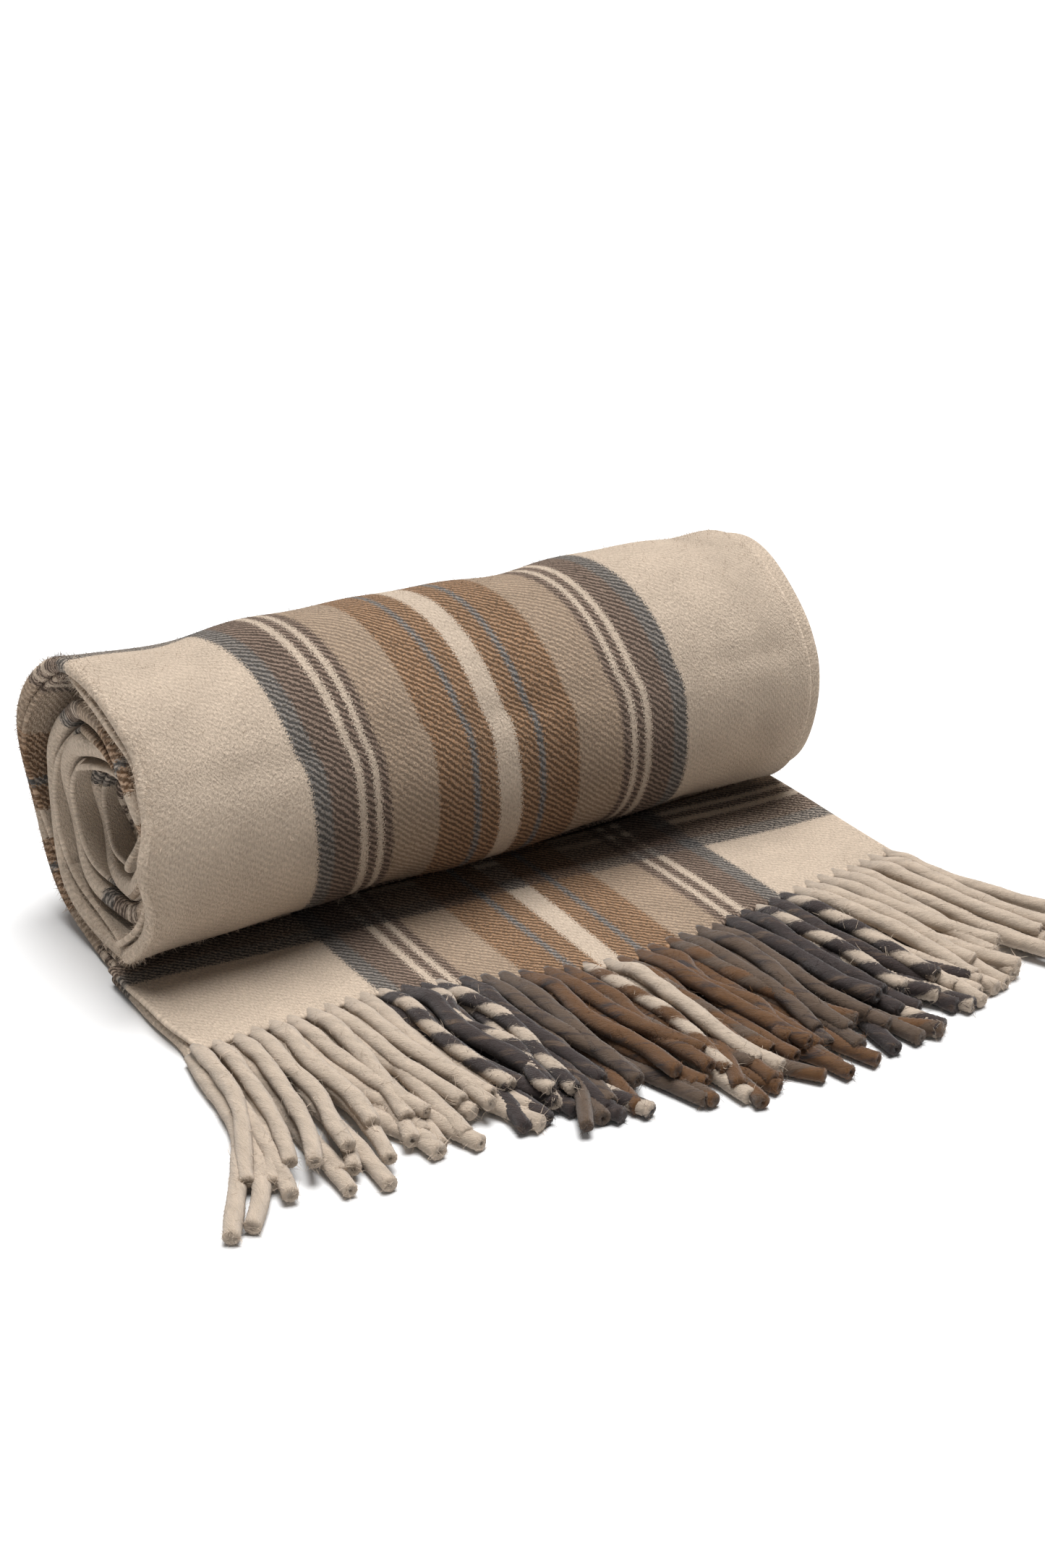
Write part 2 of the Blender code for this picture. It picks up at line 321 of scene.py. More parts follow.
@dataclass(frozen=True)
class TwistedWool:
    """Felted wool of a tassel: a dye, streaks along its twist, and another yarn's flecks or strand."""

    name: str
    dye: Dye
    fleck: Dye
    flecks: float  # share of the surface, 0 to 1
    plied: bool = False  # whether the other yarn is a strand of its own, wound round with the first

    def build(self) -> bpy.types.Material:
        """Makes the material. The UV runs round the cord and along it, in metres."""
        g = Graph(self.name)
        uv = g.add("ShaderNodeUVMap", {"uv_map": "cord"})
        drawn = g.add(VECTOR, {"operation": "MULTIPLY"}, in_0=uv, in_1=(1, 0.22, 1))
        streak = g.add(NOISE, SOLID, Vector=drawn, Scale=1500.0, Detail=3.0)
        patch = g.add(NOISE, SOLID, Vector=drawn, Scale=170.0, Detail=3.0)
        fuzz = g.add(NOISE, SOLID, Vector=uv, Scale=1900.0, Detail=5.0, Roughness=0.75)
        colour = linear(self.dye.value)
        if self.flecks:
            mottled = g.sum("ADD", patch, g.sum("MULTIPLY", g.sum("SUBTRACT", streak, 0.5), 0.35))
            low = 0.66 - 0.3 * self.flecks
            picked = g.add(REMAP, None, Value=mottled, From_Min=low, From_Max=low + 0.16)
            colour = g.mix(picked, colour, linear(self.fleck.value))
        if self.plied:
            strand = g.add("ShaderNodeAttribute", {"attribute_name": "strand"}).node.outputs["Fac"]
            ragged = g.sum("MULTIPLY_ADD", g.sum("SUBTRACT", g.sum("ADD", streak, fuzz), 1.0), 0.9, strand)
            picked = g.add(REMAP, None, Value=ragged, From_Min=0.40, From_Max=0.66)
            colour = g.mix(picked, colour, linear(self.fleck.value))
        # The cords' shade attribute is painted shade: darker in the twist's grooves, near the root and inside
        # open ends.
        depth = g.add("ShaderNodeAttribute", {"attribute_name": "shade"}).node.outputs["Fac"]
        loose = g.sum("MULTIPLY_ADD", fuzz, 0.90, -0.02)
        soft = g.sum("MULTIPLY_ADD", patch, 0.44, g.sum("MULTIPLY_ADD", streak, 0.70, loose))
        shade = g.sum("MULTIPLY", depth, soft)
        blended = bool(self.flecks) or self.plied
        tint = g.add(VECTOR, SCALE_BY, in_0=colour if blended else colour[:3], Scale=shade)
        g.put(g.shader.inputs["Base Color"], tint)
        tufts = g.sum("MULTIPLY_ADD", patch, 0.0016, g.sum("MULTIPLY", fuzz, 0.0011))
        height = g.sum("MULTIPLY_ADD", streak, 0.0009, tufts)
        bump = g.add("ShaderNodeBump", None, Height=height, Strength=0.70, Distance=1.0)
        g.put(g.shader.inputs["Normal"], bump)
        g.put(g.shader.inputs["Roughness"], 0.95)
        g.put(g.shader.inputs["Specular IOR Level"], 0.12)
        g.put(g.shader.inputs["Sheen Weight"], 0.25)
        return g.material


class Fringe(Enum):
    """Tassel wools: the node names' first word, and how each is spun."""

    CREAM = TwistedWool("cream_tassel_wool", Dye.CREAM_TASSEL, Dye.TAUPE, 0.0)
    CHARCOAL = TwistedWool("charcoal_tassel_wool", Dye.CHARCOAL, Dye.TAUPE_TASSEL, 0.35)
    TAUPE = TwistedWool("taupe_tassel_wool", Dye.TAUPE_TASSEL, Dye.CHARCOAL, 0.40)
    BROWN = TwistedWool("brown_tassel_wool", Dye.RUST, Dye.CHARCOAL, 0.40)
    CREAM_AND_CHARCOAL = TwistedWool("cream_tassel_wool_with_charcoal", Dye.CREAM_TASSEL, Dye.CHARCOAL, 0.0, True)
    CREAM_AND_BROWN = TwistedWool("cream_tassel_wool_with_brown", Dye.CREAM_TASSEL, Dye.RUST, 0.0, True)
    CHARCOAL_AND_CREAM = TwistedWool("charcoal_tassel_wool_with_cream", Dye.CHARCOAL, Dye.CREAM_TASSEL, 0.0, True)
    TAUPE_AND_BROWN = TwistedWool("taupe_tassel_wool_with_brown", Dye.TAUPE_TASSEL, Dye.RUST, 0.0, True)
    BROWN_AND_TAUPE = TwistedWool("brown_tassel_wool_with_taupe", Dye.RUST, Dye.TAUPE_TASSEL, 0.0, True)


def tassel_node(number: int) -> str:
    """The frame's node of a top tassel."""
    return next(node for node in frame["nodes"] if node.endswith(f"_tassel_{number:02d}"))


def tassel_place(number: int) -> float:
    """X of a tassel's root."""
    return (number - 0.5) * TASSEL_PITCH - SIDE


EDGE_PLACES = [tassel_place(number) for number in range(1, TASSEL_COUNT + 1)]
EDGE_ENDS = [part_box(tassel_node(number))[1].y for number in range(1, TASSEL_COUNT + 1)]


def edge_y(x: np.ndarray) -> np.ndarray:
    """Y of the weave's end at x, where the frame's tassels begin."""
    return np.interp(x, EDGE_PLACES, EDGE_ENDS)


def tassel_numbers(body: str) -> list[int]:
    """The numbers of a group's own tassels."""
    nodes = frame["record"]["behaviour"]["bodies"][body]
    return [int(node[-2:]) for node in nodes if "_tassel_" in node]


@dataclass
class Panel:
    """The woven panel's shape: where each point of its middle surface lies in the blanket."""

    def across(self, share: np.ndarray) -> tuple[np.ndarray, np.ndarray]:
        """Follows the letter fold.

        Args:
            share: distance across the panel, from the outer free edge, in metres.

        Returns:
            x, and depth inside the stack's outer face.
        """
        straight = WIDTH - FOLD_INSET
        bend = math.pi * PLY_PITCH / 2
        middle = WIDTH - 2 * FOLD_INSET
        total = 2 * straight + 2 * bend + middle
        s = share * total / PANEL
        inset = SIDE - FOLD_INSET
        first = straight
        second = first + bend
        third = second + middle
        fourth = third + bend
        corners = [0, first, second, third, fourth, total]
        x = np.interp(s, corners, [SIDE, -inset, -inset, inset, inset, -SIDE])
        depth = np.interp(s, corners, [PLY_PITCH * step for step in (0, 0, 1, 1, 2, 2)])
        for start, end, side, base in ((first, second, -1, 0), (third, fourth, 1, PLY_PITCH)):
            inside = (s > start) & (s < end)
            turn = math.pi * (s[inside] - start) / bend
            x[inside] = side * (inset + PLY_PITCH / 2 * np.sin(turn))
            depth[inside] = base + PLY_PITCH / 2 * (1 - np.cos(turn))
        return x, depth + PLY / 2

    def rolled(self, share: np.ndarray, angle: np.ndarray) -> np.ndarray:
        """Points of the roll and its flat run.

        Args:
            share: across the panel, in metres.
            angle: winding angle from under the axis, negative on the flat run.

        Returns:
            An array of points.
        """
        x, depth = self.across(share)
        turn = np.maximum(angle, 0)
        heading = np.mod(turn, math.tau)
        lap = turn / math.tau
        left = 1 - smooth(x, -SIDE, -SIDE + 0.075)
        right = smooth(x, SIDE - 0.06, SIDE)
        outside = ROLL_RADIUS - ROLL_TAPER * (x / WIDTH + 0.5)
        radius = outside - depth - TURN_PITCH * lap
        radius = radius + self.relief(x, turn, heading, lap)
        radius = radius - left * self.hollow(heading, lap)
        puff = left * self.puff(heading, lap)
        inner = smooth(depth, PLY, PLY + PLY_PITCH)
        radius = radius - puff * inner
        shift = left * self.left_edge(turn, heading, lap, depth) + right * self.right_edge(turn, depth)
        point = np.stack([x + shift, AXIS_Y + radius * np.sin(turn), outside - radius * np.cos(turn)], -1)
        flat = angle < 0
        point[flat, 1] = AXIS_Y + (outside * angle)[flat]
        point[flat, 2] = depth[flat]
        point[..., 2] += self.lift(point[..., 0], point[..., 1], depth) * flat
        return point

    def relief(self, x, turn, heading, lap) -> np.ndarray:
        """Slow swells, the pressed crease and its small cross folds, on the outer turns."""
        outer = 1 - smooth(lap, 1.2, 1.8)
        swell = 0.0011 * np.sin(x * 31 + turn * 1.3) + 0.0008 * np.sin(x * 57 - turn * 2.1 + 1.0)
        swell = swell + 0.0006 * np.sin(x * 95 + turn * 3.7 + 2.0)
        pressed = 0.55 + 0.45 * np.sin(x * 41 + 1.1)
        crease = -0.0010 * pressed * bump_at(turn, math.radians(242) + x * 0.12, 0.085)
        rumple = -0.0012 * bump_at(turn, math.radians(242), 0.16) * (0.5 + 0.5 * np.sin(x * 72 + 0.6)) ** 3
        dip = -0.0045 * bump_at(x, -0.155, 0.045) * bump_at(turn, math.radians(178), 0.55)
        fade = smooth(turn, 0.0, 0.8)
        return outer * fade * (swell + crease + rumple + dip)

    def hollow(self, heading, lap) -> np.ndarray:
        """How far a turn stands away from the one outside it, at the open left end."""
        first = smooth(lap, 1.0, 1.25) * (0.004 + 0.0085 * bump_at(heading, math.radians(150), 0.75))
        second = smooth(lap, 2.0, 2.3) * (0.006 * (0.5 - 0.5 * np.cos(heading)))
        return first + second

    def puff(self, heading, lap) -> np.ndarray:
        """How far a turn's two outer plies part at the left fold."""
        laps = [0, 0.9, 1.25, 1.8, 2.2, 2.6, 3.0, 3.4, 6]
        lobe = np.interp(lap, laps, [0.0012, 0.0015, 0.0045, 0.006, 0.0045, 0.0085, 0.0065, 0.001, 0])
        return lobe * (0.75 + 0.25 * np.cos(heading * 2 + 0.8))

    def left_edge(self, turn, heading, lap, depth) -> np.ndarray:
        """How far the left edge stands in (+) or out (-) of its neat place."""
        wave = 0.0022 * np.sin(turn * 2.3 + 0.4) + 0.0014 * np.sin(turn * 5.1 + 1.2)
        notch = 0.0052 * bump_at(turn, math.radians(250), 0.24)
        notch = notch - 0.0028 * bump_at(turn, math.radians(272), 0.22)
        corner = -0.0045 * bump_at(turn, math.radians(322), 0.16)
        shoulder = 0.0045 * bump_at(turn, math.radians(228), 0.22)
        laps = [0, 1.0, 1.25, 1.6, 2.0, 2.4, 3.0, 3.4, 4.0, 5.2]
        inside = np.interp(lap, laps, [0, 0, 0.007, 0.003, 0.012, 0.004, 0.015, 0.026, 0.032, 0.036])
        ply = np.where(depth > PLY_PITCH * 2, 0.0035 + 0.003 * np.sin(turn * 3.1), 0)
        return wave + notch + corner + shoulder + inside + ply + 0.0025

    def right_edge(self, turn, depth) -> np.ndarray:
        """The same at the right, where the outer ply ends free and the fold under it peeks out."""
        wave = 0.0015 * np.sin(turn * 2.0 + 2.0) + 0.0010 * np.sin(turn * 4.7)
        free = np.where(depth < PLY_PITCH, -0.0150 + 0.002 * np.sin(turn * 1.7), -0.0010)
        return free + wave

    def lift(self, x, y, depth) -> np.ndarray:
        """How far the flat cloth stands off the floor: slow waves that grow with height in the stack."""
        share = depth / STACK
        wave = 0.0009 + 0.0009 * np.sin(x * 24 + y * 35) + 0.0006 * np.sin(x * 61 - y * 22 + 1.4)
        return share * np.maximum(wave, 0)

    def tail(self, share: np.ndarray, run: np.ndarray) -> np.ndarray:
        """Points of the flat tail.

        Args:
            share: across the panel, in metres.
            run: 0 at the weave's end to 1 at the seam under the roll.

        Returns:
            An array of points.
        """
        x, depth = self.across(share)
        front = edge_y(x) - 0.0008 * (depth / PLY_PITCH)
        y = front + run * (AXIS_Y - SEAM_REACH - front)
        near = 1 - smooth(run, 0.0, 0.8)
        left = 1 - smooth(x, -SIDE, -SIDE + 0.06)
        edge = 0.0018 * np.sin(y * 85 + depth * 300) * near
        free = np.where(depth > PLY_PITCH * 2, 0.004 * near, 0)
        z = depth + self.lift(x, y, depth) - 0.0010 * near * left * (depth / STACK)
        z = np.maximum(z, PLY / 2)
        return np.stack([x + left * (edge + free), y, z], -1)

    def check_along(self, x: np.ndarray, y: np.ndarray, angle: np.ndarray | None) -> np.ndarray:
        """Distance along the panel that the weft's stripes follow: they run a little askew to the roll."""
        band = 0.0549 - 0.094 * (x + 0.1665)
        if angle is None:
            return y - band + 0.065
        turn = np.maximum(angle, 0)
        wound = 0.086 * turn - TURN_PITCH * turn * turn / (4 * math.pi) + 0.086 * np.minimum(angle, 0)
        askew = 0.013 * (1 - smooth(x, -SIDE, -0.11)) * smooth(turn, 1.0, 2.4)
        return AXIS_Y - band + 0.065 + wound - askew


def panel_stations(fine: float, edge: float, coarse: float, fine_third: int) -> np.ndarray:
    """Places across the panel for a grid's columns.

    Args:
        fine: spacing on the third that shows.
        edge: spacing near the folds and free edges.
        coarse: spacing where the cloth is hidden.
        fine_third: 0 for the bottom third, 2 for the top.

    Returns:
        Distances from the outer free edge.
    """
    stations = [0.0]
    while stations[-1] < PANEL:
        s = stations[-1]
        third = min(int(s / WIDTH), 2)
        within = s - third * WIDTH
        off = min(within, WIDTH - within)
        if off < 0.006 and third in (0, 1, 2):
            step = 0.0009
        elif off < 0.05:
            step = edge
        else:
            step = fine if third == fine_third else coarse
        stations.append(s + step)
    stations[-1] = PANEL
    return np.array(stations)


@dataclass
class ClothPiece:
    """A stretch of the panel as a closed cloth of real thickness with rounded edges."""

    name: str
    panel: Panel
    stations: np.ndarray
    rows: np.ndarray  # winding angles, or shares of the tail's run
    is_tail: bool
    round_start: bool
    body: np.ndarray | None = None  # the rows of points, once built
    pattern: np.ndarray | None = None

    def middle(self) -> tuple[np.ndarray, np.ndarray]:
        """The middle surface's points and their pattern coordinates, row by row."""
        share, row = np.meshgrid(self.stations, self.rows)
        points = self.panel.tail(share, row) if self.is_tail else self.panel.rolled(share, row)
        x = self.panel.across(share)[0]
        along = self.panel.check_along(x, points[..., 1], None if self.is_tail else row)
        if self.is_tail:
            shift = np.interp(share, [0, WIDTH, 2 * WIDTH, PANEL], [-0.001, 0.0, 0.0078, 0.0078])
        else:
            turned = np.degrees(np.clip(row, math.radians(120), math.radians(345)))
            shift = -0.015 + 0.019 * (turned - 180) / 150
            # The stripes step sideways at the crease and come back after it.
            before, crease, after = math.radians(236), math.radians(246), math.radians(275)
            jog = 0.0022 * (smooth(row, before, crease) - smooth(row, crease, after))
            shift = np.where(share < 2 * WIDTH, shift + jog, 0.0078)
        pattern = np.stack([share + shift + 0.0002, along], -1)
        return points, pattern

    def build(self, material: bpy.types.Material) -> bpy.types.Object:
        """Lays out the two faces round the edges and closes the ends."""
        points, pattern = self.middle()
        down = np.gradient(points, axis=0)
        sideways = np.gradient(points, axis=1)
        normal = np.cross(sideways, down)
        normal /= np.maximum(np.linalg.norm(normal, axis=-1, keepdims=True), 1e-12)
        out = sideways / np.maximum(np.linalg.norm(sideways, axis=-1, keepdims=True), 1e-12)
        half = PLY / 2
        # The closed loop round the cloth: one face, the far edge's rounding, the other face, the near edge's.
        ring, sheet = [], []
        columns = points.shape[1]
        steps = [math.pi * k / 5 for k in range(1, 5)]
        for column in range(columns):
            ring.append(points[:, column] + normal[:, column] * half)
            sheet.append(pattern[:, column])
        for turn in steps:
            ring.append(points[:, -1] + half * (normal[:, -1] * math.cos(turn) + out[:, -1] * math.sin(turn)))
            sheet.append(pattern[:, -1])
        for column in reversed(range(columns)):
            ring.append(points[:, column] - normal[:, column] * half)
            sheet.append(pattern[:, column])
        for turn in steps:
            ring.append(points[:, 0] - half * (normal[:, 0] * math.cos(turn) + out[:, 0] * math.sin(turn)))
            sheet.append(pattern[:, 0])
        ring.append(ring[0])
        sheet.append(sheet[0])
        body = np.stack(ring, 1)
        cloth = np.stack(sheet, 1)
        there = list(range(columns))
        centre_ring = there + [columns - 1] * len(steps) + there[::-1] + [0] * len(steps) + [0]
        for first, rounded in ((True, self.round_start), (False, False)):
            row = 0 if first else -1
            middle = points[row][centre_ring]
            ahead = down[row][centre_ring] * (-1 if first else 1)
            ahead = ahead / np.maximum(np.linalg.norm(ahead, axis=-1, keepdims=True), 1e-12)
            rims = [(0.0, 0.0)] if not rounded else [(0.75, 0.75), (1.0, 0.0)]
            for reach, full in rims:
                rim = middle + (body[row] - middle) * full + ahead * half * reach
                if rounded and full:
                    edge_row = body[1] if first else body[-2]
                    rim = middle + (edge_row - points[1][centre_ring]) * full + ahead * half * reach
                body = np.concatenate([rim[None], body] if first else [body, rim[None]])
                cloth = np.concatenate([cloth[:1], cloth] if first else [cloth, cloth[-1:]])
        self.body, self.pattern = body, cloth
        return self.to_object(body, cloth, material)

    def nap(
        self, name: str, patches: list, material: bpy.types.Material, random: np.random.Generator
    ) -> bpy.types.Object:
        """Fibres over parts of the cloth.

        Args:
            name: the object's name.
            patches: each part's first and last row and column, its number of fibres, and their reach.
            material: the cloth's material.
            random: where the chance comes from.

        Returns:
            The fibres as one object.
        """
        bodies, maps = [], []
        for rows, columns, count, reach in patches:
            places = np.stack([random.uniform(*rows, count), random.uniform(*columns, count)], 1)
            body, where = fibres(self.body, self.pattern, places, reach, (0, 0, -0.1), random)
            bodies.append(body)
            maps.append(where)
        mesh = fibre_mesh(name, np.concatenate(bodies), np.concatenate(maps), "cloth")
        return place_object(name, mesh, [material])

    def to_object(
        self, body: np.ndarray, cloth: np.ndarray, material: bpy.types.Material
    ) -> bpy.types.Object:
        """Turns rows of points into a welded mesh with its pattern coordinates."""
        rows, columns = body.shape[:2]
        mesh = grid_mesh(self.name, body)
        layer = mesh.uv_layers.new(name="cloth")
        write_uv(mesh, layer, cloth.reshape(-1, 2))
        weld(mesh)
        LOG.info("%s: %d x %d points", self.name, rows, columns)
        return place_object(self.name, mesh, [material])


def grid_mesh(name: str, points: np.ndarray) -> bpy.types.Mesh:
    """A mesh of rows and columns of points, by Blender's grid."""
    rows, columns = points.shape[:2]
    bm = bmesh.new()
    bmesh.ops.create_grid(bm, x_segments=columns - 1, y_segments=rows - 1, size=0.5)
    mesh = bpy.data.meshes.new(name)
    bm.to_mesh(mesh)
    bm.free()
    flat = np.empty(len(mesh.vertices) * 3, np.float32)
    mesh.vertices.foreach_get("co", flat)
    flat = flat.reshape(-1, 3)
    column = np.rint((flat[:, 0] + 0.5) * (columns - 1)).astype(int)
    row = np.rint((flat[:, 1] + 0.5) * (rows - 1)).astype(int)
    mesh.vertices.foreach_set("co", points[row, column].astype(np.float32).ravel())
    index = mesh.attributes.new("place", "INT", "POINT")
    index.data.foreach_set("value", (row * columns + column).astype(np.int32))
    mesh.polygons.foreach_set("use_smooth", [True] * len(mesh.polygons))
    mesh.update()
    return mesh


def write_uv(mesh: bpy.types.Mesh, layer: bpy.types.MeshUVLoopLayer, values: np.ndarray) -> None:
    """Gives every face corner its point's pattern coordinates."""
    place = np.empty(len(mesh.vertices), np.int32)
    mesh.attributes["place"].data.foreach_get("value", place)
    corner = np.empty(len(mesh.loops), np.int32)
    mesh.loops.foreach_get("vertex_index", corner)
    layer.data.foreach_set("uv", values[place[corner]].astype(np.float32).ravel())


def weld(mesh: bpy.types.Mesh) -> None:
    """Joins the points that coincide and turns every face outwards."""
    bm = bmesh.new()
    bm.from_mesh(mesh)
    bmesh.ops.remove_doubles(bm, verts=bm.verts, dist=2e-6)
    bmesh.ops.dissolve_degenerate(bm, edges=bm.edges, dist=1e-6)
    bmesh.ops.recalc_face_normals(bm, faces=bm.faces)
    bm.to_mesh(mesh)
    bm.free()
    mesh.attributes.remove(mesh.attributes["place"])


def fibres(
    points: np.ndarray,
    maps: np.ndarray,
    places: np.ndarray,
    reach: tuple[float, float],
    droop: tuple,
    random: np.random.Generator,
) -> tuple[np.ndarray, np.ndarray]:
    """Loose wool fibres that stand out from a surface.

    Args:
        points: the surface, as rows and columns; its outer side is along the two directions' cross product.
        maps: its pattern coordinates.
        places: row and column of each root, with fractions.
        reach: shortest and longest fibre.
        droop: a direction that every fibre bends towards.
        random: where the chance comes from.

    Returns:
        Three pairs of points for each fibre, one under the other, and their pattern coordinates.
    """
    low = np.minimum(places.astype(int), np.array(points.shape[:2]) - 2)
    part = places - low
    row, column = low[:, 0], low[:, 1]
    down, side = part[:, :1], part[:, 1:]
    root = points[row, column] * (1 - down) * (1 - side) + points[row + 1, column] * down * (1 - side)
    root = root + points[row, column + 1] * (1 - down) * side + points[row + 1, column + 1] * down * side
    corner = points[row, column]
    normal = np.cross(points[row, column + 1] - corner, points[row + 1, column] - corner)
    normal /= np.maximum(np.linalg.norm(normal, axis=1, keepdims=True), 1e-12)
    length = random.uniform(*reach, (len(root), 1))
    heading = normal * random.uniform(0.2, 0.9, (len(root), 1)) + random.normal(0, 0.55, root.shape)
    heading /= np.linalg.norm(heading, axis=1, keepdims=True)
    bend = random.normal(0, 0.45, root.shape) + np.array(droop)
    across = np.cross(heading, random.normal(0, 1, root.shape))
    across *= FIBRE_WIDTH / 2 / np.linalg.norm(across, axis=1, keepdims=True)
    rows = []
    for share, full in ((0.0, 1.0), (0.55, 0.8), (1.0, 0.2)):
        middle = root - normal * 0.0003 + length * (heading * share + bend * share * share * 0.5)
        middle[:, 2] = np.maximum(middle[:, 2], 0.0002)
        rows.append(np.stack([middle - across * full, middle + across * full], 1))
    body = np.stack(rows, 1).reshape(-1, 2, 3)
    where = np.repeat(maps[row, column], 3, 0)[:, None].repeat(2, 1)
    return body, where


def fibre_mesh(name: str, body: np.ndarray, where: np.ndarray, layer: str) -> bpy.types.Mesh:
    """One mesh of separate fibres from their pairs of points."""
    mesh = grid_mesh(name, body)
    write_uv(mesh, mesh.uv_layers.new(name=layer), where.reshape(-1, 2))
    bm = bmesh.new()
    bm.from_mesh(mesh)
    place = bm.verts.layers.int["place"]
    # Every third strip would join one fibre to the next.
    joins = [face for face in bm.faces if min(vert[place] for vert in face.verts) // 2 % 3 == 2]
    bmesh.ops.delete(bm, geom=joins, context="FACES_ONLY")
    bm.to_mesh(mesh)
    bm.free()
    mesh.attributes.remove(mesh.attributes["place"])
    return mesh


def write_points(mesh: bpy.types.Mesh, name: str, values: np.ndarray) -> None:
    """Gives the mesh a value at each point, which its material reads."""
    mesh.attributes.new(name, "FLOAT", "POINT").data.foreach_set("value", values.astype(np.float32))


def place_object(name: str, mesh: bpy.types.Mesh, materials: list[bpy.types.Material]) -> bpy.types.Object:
    """An object at the origin that holds the mesh."""
    for material in materials:
        mesh.materials.append(material)
    obj = bpy.data.objects.new(name, mesh)
    bpy.context.scene.collection.objects.link(obj)
    return obj


@dataclass
class Tassel:
    """A felted cord twisted from the panel's own warp."""

    number: int  # 1 to 42 from the left
    ply: int  # 0 for the bottom ply, 2 for the top
    wool: Fringe
    random: np.random.Generator

    sides: int = 12
    ring_step: float = 0.0025
    thickness: float = 0.0046  # radius
    floor_gap: float = 0.0003
    plain_twist: float = 0.038  # length of one turn
    plied_twist: float = 0.026

    def lean(self) -> float:
        """Sideways slope, which grows at the corners as in the frame."""
        index = self.number - 1
        if index < 5:
            return 0.08 - 0.34 * (1 - index / 5)
        return 0.08 + 0.16 * max(0.0, 1 - (TASSEL_COUNT - 1 - index) / 14)

    def path(self, runs: np.ndarray, length: float) -> np.ndarray:
        """The cord's middle line at these runs from the weave's end."""
        r = self.random
        x0 = (self.number - 0.5) * TASSEL_PITCH - SIDE + r.normal(0, 0.0008) + (self.ply - 2) * 0.0018
        share = runs / length
        # The dark middle of the fringe is matted; the pale corners are combed out.
        mess = 1.0 if self.wool is Fringe.CREAM else 1.6
        lean = self.lean() + r.normal(0, (0.11, 0.09, 0.055)[self.ply] * mess)
        sway = r.normal(0, (0.0050, 0.0040, 0.0030)[self.ply])
        sway = sway * np.sin(share * math.pi * r.uniform(0.8, 1.7)) * share
        wiggle = r.normal(0, 0.0012 * mess) * np.sin(share * math.pi * r.uniform(2, 4) + r.uniform(0, 6))
        x = x0 + lean * runs * share + sway + wiggle * smooth(share, 0, 0.3)
        y = edge_y(np.array([x0]))[0] + 0.0035 - runs
        root = PLY / 2 + self.ply * PLY_PITCH
        rest = (0.0046, 0.0095, 0.0150)[self.ply] + r.normal(0, 0.0007) * self.ply
        tip = (0.0046, 0.0072, 0.0112)[self.ply] + r.normal(0, 0.0012) * self.ply
        heights = [root + 0.0003, root + 0.0012, rest, rest - 0.0006, tip]
        z = np.interp(share, [0, 0.10, 0.22, 0.6, 1.0], heights)
        z = np.convolve(np.pad(z, 3, mode="edge"), np.ones(7) / 7, mode="valid")
        return np.stack([x, y, np.maximum(z, self.thickness)], -1)

    def rings(self) -> tuple[np.ndarray, np.ndarray, np.ndarray]:
        """Rows of points round the cord, their UVs and their shade."""
        r = self.random
        longer = 1 + float(np.clip(r.normal(0, 0.045), -0.08, 0.06))
        length = TASSEL_LENGTH * (1.10, 1.03, 0.93)[self.ply] * longer
        runs = np.linspace(0, length, int(length / self.ring_step) + 1)
        centre = self.path(runs, length)
        ahead = np.gradient(centre, axis=0)
        ahead /= np.linalg.norm(ahead, axis=1, keepdims=True)
        side = np.cross(ahead, [0, 0, 1.0])
        side /= np.linalg.norm(side, axis=1, keepdims=True)
        up = np.cross(side, ahead)
        thick = r.uniform(0.92, 1.08) * self.thickness
        share = runs / length
        radius = thick * np.interp(share, [0, 0.05, 0.14, 0.85, 1], [0.62, 0.86, 1, 0.97, 0.93])
        radius = radius * (1 + 0.05 * np.sin(share * r.uniform(18, 30) + r.uniform(0, 6)))
        centre[:, 2] = np.maximum(centre[:, 2], radius + self.floor_gap)
        one_turn = self.plied_twist if self.wool.value.plied else self.plain_twist
        twist = r.uniform(0, math.tau) + runs * math.tau / one_turn
        flat = np.interp(share, [0, 0.12, 0.25], [0.72, 0.9, 1.0])
        column = np.arange(self.sides + 1)
        around = math.tau * column / self.sides
        lobe = 0.95 + 0.05 * np.abs(np.sin(math.pi * column * 2 / self.sides))
        rows, maps, shades = [], [], []
        hole = r.uniform(0.06, 0.38)
        frayed = 1 + 0.10 * r.normal(0, 1, self.sides + 1)
        frayed[-1] = frayed[0]
        # Some ends are matted shut and some stand open; an open end is painted darker inside, as painted shade in
        # its hollow.
        sunk_and_shaded = max(0.0, r.uniform(-0.7, 1.0))
        ends = [
            (0.0006, 0.95, 0.97),
            (0.0012, 0.78, 0.92),
            (0.0013 - 0.0005 * sunk_and_shaded, hole + 0.1, 0.86 - 0.24 * sunk_and_shaded),
            (0.0011 - 0.0019 * sunk_and_shaded, hole, 0.82 - 0.45 * sunk_and_shaded),
            (0.0011 - 0.0021 * sunk_and_shaded, 0.0, 0.80 - 0.48 * sunk_and_shaded),
        ]
        for k in range(len(runs)):
            angle = around + twist[k]
            reach = radius[k] * lobe
            ring = centre[k] + side[k] * (reach * np.cos(angle))[:, None] * (2 - flat[k]) ** 0.5
            rows.append(ring + up[k] * (reach * np.sin(angle) * flat[k])[:, None])
            unrolled = np.stack([around * thick, np.full(column.shape, runs[k])], -1)
            maps.append(unrolled + [self.number * 0.37, self.ply * 0.7])
            # Painted shade: each cord is darker in the grooves between its twisted lobes and towards its root,
            # where it leaves the weave.
            painted_groove_shade = 0.90 + 0.10 * np.abs(np.sin(math.pi * column * 2 / self.sides))
            shades.append(painted_groove_shade * np.interp(share[k], [0, 0.06, 0.15], [0.75, 0.9, 1.0]))
        tip = rows[-1] - centre[-1]
